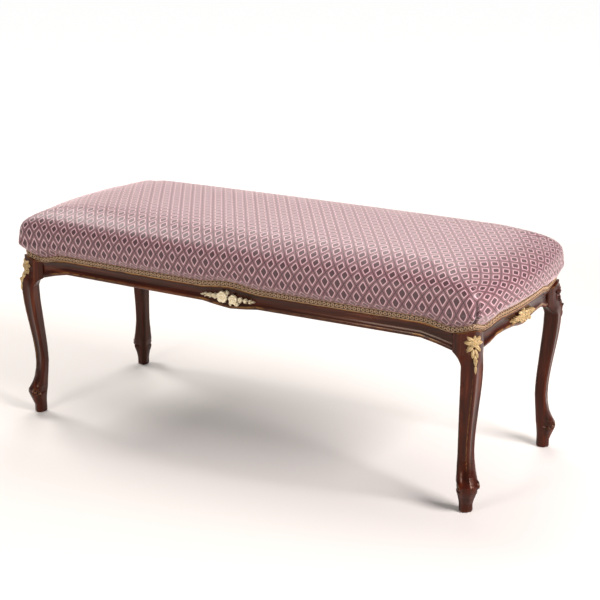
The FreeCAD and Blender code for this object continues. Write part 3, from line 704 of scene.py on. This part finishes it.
cover_mesh.vertices.foreach_set("co", rest.astype(np.float32).ravel())
shape = bmesh.new()
shape.from_mesh(cover_mesh)
under = [f for f in shape.faces if f.normal.z < -0.88 and f.calc_center_median().z < low_limit]
bmesh.ops.delete(shape, geom=under, context="FACES")
for face in shape.faces:
    face.smooth = True
shape.to_mesh(cover_mesh)
shape.free()
divide = cover.modifiers.new("finer", "SUBSURF")
divide.levels = 1
divide.render_levels = 1
cover_mesh = settle(cover)
finished, fold = pleat(vertex_array(cover_mesh))
cover_mesh.vertices.foreach_set("co", finished.astype(np.float32).ravel())
cover_mesh.update()
outer_flat = outer.reshape(-1, 3)
form = BVHTree.FromPolygons([Vector(p) for p in outer_flat], faces)
cloth_at = np.zeros((len(finished), 2))
for index, point in enumerate(finished):
    spot, _, face_index, _ = form.find_nearest(Vector(point))
    corner_ids = list(faces[face_index])
    weight = np.array(poly_3d_calc([Vector(outer_flat[i]) for i in corner_ids], spot))
    cloth_at[index] = (seat_cloth[corner_ids] * weight[:, None]).sum(0)
on_crown = (finished[:, 2] > bulge_height) & (np.abs(finished[:, 0]) < outer[0, :, 0].max())
on_crown &= np.abs(finished[:, 1]) < outer[0, :, 1].max()
cloth_at[on_crown] = finished[on_crown, :2]
# The fold depth is kept for the painted shade in the pleats.
cover_mesh.attributes.new("fold", "FLOAT", "POINT").data.foreach_set("value", fold.astype(np.float32))
uv = cover_mesh.uv_layers.new(name="cloth")
loops = np.zeros(len(cover_mesh.loops), np.int32)
cover_mesh.loops.foreach_get("vertex_index", loops)
uv.data.foreach_set("uv", cloth_at[loops].astype(np.float32).ravel())
print("seat cover:", len(cover_mesh.polygons), "faces")

# %% [markdown]
# ## Satin with a trellis
# The cloth repeats a diamond about 28 mm wide and 42 mm high, each row set half a step along. In
# coordinates that run along the two diagonals, every diamond is a unit square, so one formula draws them
# all: a dark heart, a pale ring with soft corners, and a dark line between neighbours.


# %% Satin material
def trellis_satin():
    """Mauve satin with a pale trellis; satin threads shine along the weave."""
    material, tree, shader = new_material("mauve satin with a woven trellis")
    cloth = add(tree, "ShaderNodeUVMap", uv_map="cloth").outputs[0]
    split = add(tree, "ShaderNodeSeparateXYZ", {0: cloth})
    diamond_width, diamond_height = 28.2 * MM, 42 * MM
    wide = calc(tree, "DIVIDE", split.outputs[0], diamond_width)
    high = calc(tree, "DIVIDE", split.outputs[1], diamond_height)

    def centred(value):
        whole = calc(tree, "ROUND", value)
        return calc(tree, "SUBTRACT", value, whole)

    first = centred(calc(tree, "ADD", wide, high))
    second = centred(calc(tree, "SUBTRACT", wide, high))
    size_first = calc(tree, "ABSOLUTE", first)
    size_second = calc(tree, "ABSOLUTE", second)
    square = calc(tree, "MAXIMUM", size_first, size_second)
    round_part = calc(tree, "SQRT", calc(tree, "ADD", calc(tree, "MULTIPLY", first, first),
                                         calc(tree, "MULTIPLY", second, second)))
    radius = calc(tree, "ADD", calc(tree, "MULTIPLY", square, 0.8), calc(tree, "MULTIPLY", round_part, 0.2))
    ring = calc(tree, "SUBTRACT", step(tree, radius, 0.25, 0.28), step(tree, radius, 0.32, 0.35))
    between = step(tree, square, 0.44, 0.47)
    threads = noise(tree, cloth, 900.0, 2.0)
    ground = blend(tree, threads, colour("704a50"), colour("865f65"))
    with_ring = blend(tree, ring, ground, colour("cda9ae"))
    heart = calc(tree, "SUBTRACT", 1.0, step(tree, radius, 0.22, 0.25))
    with_heart = blend(tree, heart, with_ring, colour("462a2f"))
    with_line = blend(tree, calc(tree, "MULTIPLY", between, 0.85), with_heart, colour("3c2429"))
    # Painted shade: the satin darkens towards 2c191c down in the pleats' folds.
    fold_shaded = blend(tree, calc(tree, "MULTIPLY", stored(tree, "fold"), 0.85), with_line, colour("2c191c"))
    height = calc(tree, "SUBTRACT", calc(tree, "ADD", ring, calc(tree, "MULTIPLY", threads, 0.35)), between)
    bump = add(tree, "ShaderNodeBump", {"Height": height, "Strength": 0.5, "Distance": 0.001})
    fill(tree, shader, {
        "Base Color": fold_shaded, "Roughness": 0.42, "Specular IOR Level": 0.5, "Sheen Weight": 0.8,
        "Sheen Roughness": 0.35, "Sheen Tint": colour("f6dfe0"), "Normal": bump.outputs[0]})
    return material


dress(cover_mesh, trellis_satin())
hand_over(cover, "satin_cover", "seat_cover", "wadding", "foam_core")
print("satin on", cover.name)

# %% [markdown]
# ## The braid
# Gimp braid is a flat band of gold thread with a row of loops sewn on. The band is swept along the line,
# and a Geometry Nodes tree sets a loop at every step and runs a cord along each edge, each turned to face
# outwards.


# %% Braid band and its path
def braid_path(lift, out):
    """Points along the braid at a height above its lower edge and a distance out from the cover."""
    line = flared(base_line, ear_flare) + base_out * (out - skirt_setback)
    return np.c_[line, polished_edge(base_line) + lift]


band_rings = np.array([braid_path(lift, out) for lift, out in (
    (0.3 * MM, 0.2 * MM), (0.6 * MM, 1.6 * MM), (braid_high / 2, 2.0 * MM),
    (braid_high - 0.3 * MM, 1.6 * MM), (braid_high, 0.2 * MM))])
band_faces = ring_faces(len(band_rings), place_count)
path = braid_path(braid_high / 2, 2.2 * MM)
path_mesh = bpy.data.meshes.new("braid path")
path_mesh.from_pydata([tuple(p) for p in path], [(i, (i + 1) % place_count) for i in range(place_count)], [])
outward = path_mesh.attributes.new("outward", "FLOAT_VECTOR", "POINT")
outward.data.foreach_set("vector", np.c_[base_out, np.zeros(place_count)].astype(np.float32).ravel())
path_piece = new_piece("braid path", path_mesh)
print("braid path:", round(float(np.linalg.norm(np.diff(path, axis=0), axis=1).sum()), 2), "m")


# %% Braid loops by Geometry Nodes
def braid_nodes(material):
    """Loops at an even pitch along the path, with a cord above and below them."""
    tree = bpy.data.node_groups.new("braid loops", "GeometryNodeTree")
    tree.interface.new_socket("Path", in_out="INPUT", socket_type="NodeSocketGeometry")
    for name in ("Pitch", "Loop radius", "Thread radius", "Cord height"):
        tree.interface.new_socket(name, in_out="INPUT", socket_type="NodeSocketFloat")
    tree.interface.new_socket("Geometry", in_out="OUTPUT", socket_type="NodeSocketGeometry")
    given = add(tree, "NodeGroupInput").outputs
    curve = add(tree, "GeometryNodeMeshToCurve", {"Mesh": given["Path"]}).outputs[0]
    even = add(tree, "GeometryNodeResampleCurve", {"Curve": curve, "Length": given["Pitch"]}, mode="LENGTH")
    thread, circle = [
        add(tree, "GeometryNodeCurvePrimitiveCircle", {"Resolution": points, "Radius": radius}).outputs[0]
        for points, radius in ((6, given["Thread radius"]), (14, given["Loop radius"]))]
    loop = add(tree, "GeometryNodeCurveToMesh", {"Curve": circle, "Profile Curve": thread})
    upright = add(tree, "GeometryNodeTransform", {"Geometry": loop.outputs[0], "Rotation": (1.25, 0.0, 0.0)})
    tangent = add(tree, "GeometryNodeInputTangent").outputs[0]
    facing = add(tree, "GeometryNodeInputNamedAttribute", {"Name": "outward"}, data_type="FLOAT_VECTOR")
    turned = add(tree, "FunctionNodeAlignRotationToVector", {"Vector": tangent}, axis="X")
    turned = add(tree, "FunctionNodeAlignRotationToVector", {
        "Rotation": turned.outputs[0], "Vector": facing.outputs["Attribute"]}, axis="Y", pivot_axis="X")
    loops = add(tree, "GeometryNodeInstanceOnPoints", {
        "Points": even.outputs[0], "Instance": upright.outputs[0], "Rotation": turned.outputs[0]})
    parts = [loops.outputs[0]]
    for sign in (-1.0, 1.0):
        lift = calc(tree, "MULTIPLY", given["Cord height"], sign)
        move = add(tree, "ShaderNodeCombineXYZ", {2: lift}).outputs[0]
        cord = add(tree, "GeometryNodeCurveToMesh", {"Curve": curve, "Profile Curve": thread, "Scale": 0.55})
        moved = add(tree, "GeometryNodeTransform", {"Geometry": cord.outputs[0], "Translation": move})
        parts.append(moved.outputs[0])
    join = add(tree, "GeometryNodeJoinGeometry")
    for part in parts:
        tree.links.new(part, join.inputs[0])
    real = add(tree, "GeometryNodeRealizeInstances", {0: join.outputs[0]})
    painted = add(tree, "GeometryNodeSetMaterial", {"Geometry": real.outputs[0], "Material": material})
    output = add(tree, "NodeGroupOutput")
    tree.links.new(painted.outputs[0], output.inputs[0])
    return tree


def run_nodes(piece, tree, values):
    """The mesh that a Geometry Nodes tree makes from a piece, with its named inputs set."""
    modifier = piece.modifiers.new("nodes", "NODES")
    modifier.node_group = tree
    for item in tree.interface.items_tree:
        if item.name in values:
            modifier[item.identifier] = values[item.name]
    mesh = baked(piece)
    piece.modifiers.clear()
    return mesh


def gold_thread():
    """Antique gold thread in two tones."""
    material, tree, shader = new_material("antique gold thread")
    spots = noise(tree, object_place(tree), 260.0, 3.0)
    fill(tree, shader, {"Base Color": blend(tree, spots, colour("78583c"), colour("d6b794")),
                        "Metallic": 0.45, "Roughness": 0.42})
    return material


braid_gold = gold_thread()
braid_band = plain_material("bronze braid ground", "24160a", "3a2712", 400.0, 0.6)
loops_mesh = run_nodes(path_piece, braid_nodes(braid_gold), {
    "Pitch": 9.7 * MM, "Loop radius": 3.1 * MM, "Thread radius": 1.3 * MM, "Cord height": 5.2 * MM})
bpy.data.objects.remove(path_piece)
shape = bmesh.new()
shape.from_mesh(new_mesh("band", band_rings.reshape(-1, 3), band_faces))
bmesh.ops.recalc_face_normals(shape, faces=shape.faces)
shape.from_mesh(loops_mesh)
for index, face in enumerate(shape.faces):
    face.material_index = 1 if index < len(band_faces) else 0
    face.smooth = True
braid_mesh = bpy.data.meshes.new("gold braid")
shape.to_mesh(braid_mesh)
shape.free()
braid_mesh.materials.append(braid_gold)
braid_mesh.materials.append(braid_band)
braid = new_piece("gold gimp braid", braid_mesh)
hand_over(braid, "gold_braid", "gimp_braid")
print("braid:", len(braid_mesh.polygons), "faces")

# %% [markdown]
# ## Gilded carvings
# The flowers and leaves are traditional: a rose is two rings of cupped petals about a button, and a leaf
# is a pointed blade with a furrow down its middle and ribs to its edge. Each is made flat, facing up, and
# then stood against the wood.


# %% Flower and leaf shapes
class Relief:
    """Collects small grids of points into one mesh."""

    def __init__(self):
        self.points = []
        self.faces = []

    def grid(self, sheet):
        """Adds a sheet of points (row, column, xyz)."""
        rows, columns = sheet.shape[:2]
        start = len(self.points)
        self.points.extend(sheet.reshape(-1, 3))
        for row in range(rows - 1):
            for column in range(columns - 1):
                corner = start + row * columns + column
                self.faces.append((corner, corner + 1, corner + columns + 1, corner + columns))

    def turned_grid(self, x, y, turn, run, across, height):
        """Adds a sheet that starts at x and y and runs in the direction of the turn."""
        right = x + run * math.cos(turn) - across * math.sin(turn)
        forward = y + run * math.sin(turn) + across * math.cos(turn)
        self.grid(np.stack([right, forward, height], axis=2))

    def mesh(self, name, placed, facing):
        """One mesh of the points in their places, with its faces turned to the outside."""
        shape = bmesh.new()
        shape.from_mesh(new_mesh(name, placed, self.faces))
        bmesh.ops.remove_doubles(shape, verts=shape.verts, dist=0.01 * MM)
        for face in shape.faces:
            face.smooth = True
            if face.normal.dot(facing) < 0:
                face.normal_flip()
        mesh = bpy.data.meshes.new(name)
        shape.to_mesh(mesh)
        shape.free()
        return mesh


def petal(relief, x, y, turn, reach, length, width, base, lift):
    """A cupped petal that leans out from the heart of a flower; its rim reaches down into the wood."""
    along, aside = np.meshgrid(np.linspace(0, 1, 9), np.linspace(-1, 1, 9), indexing="ij")
    breadth = width / 2 * np.sin(np.clip(along * 0.86 + 0.14, 0, 1) * math.pi) ** 0.6
    across = aside * breadth
    run = reach + along * length * (1 - 0.12 * aside ** 2)
    height = base + lift * (np.sin(along * math.pi * 0.72) - 0.45 * (1 - aside ** 2) * along)
    height = np.where((along > 0.99) | (np.abs(aside) > 0.99), base - 4 * MM, height)
    relief.turned_grid(x, y, turn, run, across, height)


def rose(relief, x, y, radius):
    """Two rings of petals and a button."""
    for index in range(5):
        turn = 2 * math.pi * (index + 0.25) / 5
        petal(relief, x, y, turn, radius * 0.15, radius * 0.85, radius * 1.12, 2.5 * MM, 3.2 * MM)
    for index in range(5):
        turn = 2 * math.pi * (index + 0.75) / 5
        petal(relief, x, y, turn, radius * 0.08, radius * 0.55, radius * 0.78, 4.2 * MM, 3.4 * MM)
    turns, drops = np.linspace(0, 2 * math.pi, 13), np.linspace(0, math.pi / 2, 5)
    around, down = np.meshgrid(turns, drops, indexing="ij")
    button = radius * 0.24
    wide = button * np.sin(down)
    relief.grid(np.stack([x + wide * np.cos(around), y + wide * np.sin(around),
                          5.5 * MM + button * np.cos(down)], axis=2))


def blade(relief, x, y, turn, length, width, bend, lift):
    """A leaf with a furrow down the middle, ribs and a toothed edge; bend curls it sideways."""
    along, aside = np.meshgrid(np.linspace(0, 1, 25), np.linspace(-1, 1, 11), indexing="ij")
    teeth = 1 - 0.16 * np.abs(np.sin(along * math.pi * 5))
    breadth = width / 2 * np.sin(along ** 0.8 * math.pi) ** 0.75 * teeth
    across = aside * breadth + bend * along ** 2 * length
    run = along * length
    dome = (1 - aside ** 2) * np.sin(np.clip(along, 0.03, 0.97) * math.pi) ** 0.5
    off = np.abs(aside)
    ribs = 0.12 * np.cos((along * 5 - off * 0.6) * 2 * math.pi) * off * (1 - off)
    furrow = 0.35 * np.exp(-(aside / 0.16) ** 2)
    height = lift * (0.25 + dome - furrow * dome + ribs)
    height = np.where(np.abs(aside) > 0.99, -5 * MM, height)
    relief.turned_grid(x, y, turn, run, across, height)


print("carving shapes ready")


# %% Gilding
def gilding(name, low, high):
    """Worn gilding in two tones, with brown glazing and painted shade in the hollows."""
    material, tree, shader = new_material(name)
    gold = blend(tree, noise(tree, object_place(tree), 180.0, 4.0), colour(low), colour(high))
    # The hollows darken towards 2e1b0c: partly a brown glazing, partly painted shade.
    glazing_and_shade = step(tree, calc(tree, "SUBTRACT", 1.0, stored(tree, "proud")), 0.5, 0.72)
    gold_with_glazing_and_shade = blend(tree, calc(tree, "MULTIPLY", glazing_and_shade, 0.9), gold, colour("2e1b0c"))
    fill(tree, shader, {"Base Color": gold_with_glazing_and_shade, "Metallic": 0.2, "Roughness": 0.45})
    return material


# Three copies of one gilding, painted lighter or darker for the light on each part: the front rail's
# brightest, the end rails' and front knees' as in half shade, and the rear's darkest, as in shade, on a
# stain like the legs'.
gilt_painted_lit = gilding("ivory gilding with painted light", "cbb684", "faf2dc")
gilt_painted_half_shaded = gilding("old gold gilding with painted half shade", "957849", "cfb787")
carving_stained_and_shaded = gilding("stained carving with painted shade", "2c0e07", "4c2010")
print("gilding in three tones")

# %% Carvings on the rails
up = Vector((0, 0, 1))


def spray(stem):
    """A large and a small rose; a thin stem with buds and small leaves runs out to each side."""
    relief = Relief()
    rose(relief, -16 * MM, 1 * MM, 14 * MM)
    rose(relief, 11 * MM, -1 * MM, 11.5 * MM)
    for side, start in ((-1, 30 * MM), (1, 23 * MM)):
        out = 0 if side > 0 else math.pi
        blade(relief, side * (start - 4 * MM), 0, out, stem + 10 * MM, 3 * MM, 0.05 * side, 2.6 * MM)
        for share, radius in ((0.2, 5.0), (0.62, 4.0)):
            rose(relief, side * (start + stem * share), 1.5 * MM, radius * MM)
        for share in (0.0, 0.42, 0.84):
            for lift in (-0.9, 0.9):
                blade(relief, side * (start + stem * share), 0, out + side * lift, (9 - 3 * share) * MM,
                      (5.5 - 1.5 * share) * MM, -side * lift * 0.2, 3.2 * MM)
        blade(relief, side * (start + stem), 0, out, 10 * MM, 4.5 * MM, 0, 3 * MM)
    for x, y, turn in ((-3, 7, 0.55), (2, -7, -0.42)):
        blade(relief, x * MM, y * MM, math.pi * turn, 10 * MM, 7 * MM, 0.1, 3.2 * MM)
    rose(relief, 20 * MM, -9.5 * MM, 5 * MM)
    return relief


def stood_up(relief, name, middle, out):
    """The relief stood against the wood, with its Y up and its Z outwards."""
    turn = Matrix((up.cross(out), up, out)).transposed()
    return relief.mesh(name, [middle + turn @ Vector(p) for p in relief.points], out)


for side, out, stem in (("front", Vector((0, -1, 0)), 31 * MM), ("rear", Vector((0, 1, 0)), 31 * MM),
                        ("left", Vector((-1, 0, 0)), 22 * MM), ("right", Vector((1, 0, 0)), 22 * MM)):
    low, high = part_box("carving_" + side)
    face = half_depth if out.y else half_length
    middle = Vector((0, 0, (low.z + high.z) / 2 + 1.5 * MM)) + out * (face - 1 * MM)
    # Each side's carving takes the copy painted for the light on that side: painted light at the front,
    # painted shade elsewhere.
    tone_by_light = {"front": gilt_painted_lit, "rear": carving_stained_and_shaded}.get(side, gilt_painted_half_shaded)
    carving = new_piece("carved spray " + side, stood_up(spray(stem), side, middle, out), tone_by_light)
    mark_proud(carving.data, 2.2, 1)
    hand_over(carving, "gilded_carving", "carving_" + side)
    print(carving.name, len(carving.data.polygons), "faces")

# %% [markdown]
# ## Carvings on the knees
# Under each ear sits a rose between leaves, and below it a husk and a drop follow the curve of the knee.
# They are made flat and then laid on the leg's profile, which runs out over the knee.


# %% Knee carvings
def knee_spray():
    """Made flat, with Y up the leg's ridge, from below the knee to the ear."""
    relief = Relief()
    down = -math.pi / 2
    for side in (-1, 1):
        for turn, length, start in ((0.9, 14, 5), (0.25, 16, 2), (-0.55, 15, -3)):
            angle = turn if side > 0 else math.pi - turn
            blade(relief, side * 2 * MM, start * MM, angle, length * MM, 11 * MM, -0.2 * side, 3.6 * MM)
    blade(relief, 0, 6 * MM, math.pi / 2, 13 * MM, 10 * MM, 0.0, 3.5 * MM)
    rose(relief, 0, 2 * MM, 8.5 * MM)
    for side in (-1, 1):
        blade(relief, side * 1.5 * MM, -9 * MM, down + side * 0.3, 18 * MM, 8 * MM, -0.1 * side, 3.4 * MM)
    blade(relief, 0, -20 * MM, down, 24 * MM, 9 * MM, 0.0, 3.6 * MM)
    rose(relief, 0, -31 * MM, 4 * MM)
    blade(relief, 0, -40 * MM, down, 18 * MM, 6.5 * MM, 0.0, 3.0 * MM)
    return relief


def laid_on_leg(relief, corner):
    """The relief bent onto the ridge of a leg: its Y follows the profile, its Z stands out from it."""
    heights = np.array([270, 285, 305, 316, 327, 336, 345, 356, 366, 377]) * MM
    reach = np.array([27.2, 28.8, 29.3, 28, 25, 20.5, 18.2, 18.6, 19.8, 20]) * MM
    runs = np.r_[0, np.cumsum(np.hypot(np.diff(heights), np.diff(reach)))]
    rose_height, leg_roundness, sunk = 349 * MM, 90 * MM, 0.8 * MM
    centre = np.interp(rose_height, heights, runs)
    points = np.array(relief.points)
    at = centre + points[:, 1]
    z = np.interp(at, runs, heights)
    out = np.interp(at, runs, reach)
    small = 2 * MM
    slope_out = np.interp(at + small, runs, reach) - np.interp(at - small, runs, reach)
    slope_up = np.interp(at + small, runs, heights) - np.interp(at - small, runs, heights)
    size = np.hypot(slope_out, slope_up)
    sag = points[:, 0] ** 2 / leg_roundness
    lift = points[:, 2] - sunk - sag
    out = out + lift * slope_up / size
    z = z - lift * slope_out / size
    sign_x, sign_y = corner_signs(corner).tolist()
    aside = points[:, 0]
    placed = np.c_[sign_x * (foot_x + (out - aside) * math.sqrt(0.5)),
                   sign_y * (foot_y + (out + aside) * math.sqrt(0.5)), z]
    return relief.mesh("knee " + corner, placed, Vector((sign_x, sign_y, 0)))


for corner in corners:
    # The rear knees get the copy painted as in shade, and the front knees the one painted as in half shade.
    tone_by_light = carving_stained_and_shaded if corner.startswith("rear") else gilt_painted_half_shaded
    carving = new_piece("carved knee " + corner, laid_on_leg(knee_spray(), corner), tone_by_light)
    mark_proud(carving.data, 2.2, 1)
    hand_over(carving, "gilded_carving", "knee_carving_" + corner)
print("knee carvings:", len(corners))

# %% [markdown]
# ## Under the seat
# Black cambric closes the underside. The webbing and the base cloth above it are hidden, but they are
# there for whoever takes the seat apart.

# %% Hidden pieces
cambric = plain_material("black cambric", "141414", "232323", 500.0, 0.9)
jute = plain_material("jute webbing", "8a6a42", "a98a5c", 220.0, 0.85)
hessian = plain_material("hessian", "9c8258", "b99c6c", 320.0, 0.9)
for node, material, slot in (("dust_cover", cambric, "dust_cloth"), ("base_cloth", hessian, "base_cloth")):
    low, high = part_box(node)
    sheet = new_piece(node.replace("_", " ") + " sheet", merged_copy(node, math.radians(38)), material)
    hand_over(sheet, slot, node)
for node in ("webbing_lengthwise", "webbing_crosswise"):
    straps = new_piece(node.replace("_", " ") + " straps", merged_copy(node, math.radians(38)), jute)
    hand_over(straps, "jute_webbing", node)
for node in ["cross_brace", "rail_dowels"] + ["corner_block_" + corner for corner in corners]:
    dress(nodes[node].data, frame_wood)
dress(nodes["corner_block_screws"].data, steel)
print("hidden pieces dressed")

# %% [markdown]
# ## Studio
# A pale floor runs far back and a painted glow brightens it to white away from the bench, large soft lights
# stand around and above, and the camera has the photograph's place and lens.

# %% Floor, lights and camera
floor_mesh = new_mesh("floor", [(-30, -30, 0), (30, -30, 0), (30, 30, 0), (-30, 30, 0)], [(0, 1, 2, 3)])
floor_material, floor_tree, floor_shader = new_material("pale floor")
from_bench = add(floor_tree, "ShaderNodeVectorMath", {0: object_place(floor_tree)}, operation="LENGTH")
# Painted glow: the floor emits light from 1.2 m out, full at 4.5 m, so that it fades to white.
painted_glow = calc(floor_tree, "MULTIPLY", step(floor_tree, from_bench.outputs["Value"], 1.2, 4.5), 0.8)
fill(floor_tree, floor_shader, {"Base Color": colour("e9e6e2"), "Roughness": 0.7,
                                "Emission Color": colour("ffffff"), "Emission Strength": painted_glow})
floor = new_piece("floor", floor_mesh, floor_material)


def area_light(name, place, target, size, power, tint):
    """A square lamp that looks at the target."""
    data = bpy.data.lights.new(name, "AREA")
    data.size = size
    data.energy = power
    data.color = colour(tint)[:3]
    light = bpy.data.objects.new(name, data)
    light.location = place
    light.rotation_euler = (Vector(target) - Vector(place)).to_track_quat("-Z", "Y").to_euler()
    bpy.context.scene.collection.objects.link(light)


area_light("back", (-1.0, 2.2, 2.8), (0, 0, 0.4), 2.2, 64, "fff8f5")
area_light("left", (-2.1, 0.4, 2.4), (-0.2, 0, 0.4), 0.9, 42, "fffaf6")
area_light("front", (-0.6, -3.2, 1.3), (0, 0, 0.35), 0.9, 33, "fff8f0")
area_light("end", (2.9, -0.4, 2.1), (0, 0, 0.35), 1.4, 145, "fff6f6")
world = bpy.data.worlds.new("studio")
world.use_nodes = True
world.node_tree.nodes.clear()
light_sky = add(world.node_tree, "ShaderNodeBackground", {"Color": colour("f4f4f6"), "Strength": 0.25})
sky_output = add(world.node_tree, "ShaderNodeOutputWorld")
world.node_tree.links.new(light_sky.outputs[0], sky_output.inputs[0])
bpy.context.scene.world = world

camera_data = bpy.data.cameras.new("camera")
camera_data.lens = 90.28
camera_data.sensor_width = 36
camera = bpy.data.objects.new("camera", camera_data)
camera.location = (1.6625, -2.7009, 1.2378)
camera.rotation_euler = (math.radians(90 - 16.479), 0, math.radians(30.97))
bpy.context.scene.collection.objects.link(camera)
bpy.context.scene.camera = camera
bpy.context.scene.view_settings.view_transform = "Standard"
print("studio ready")
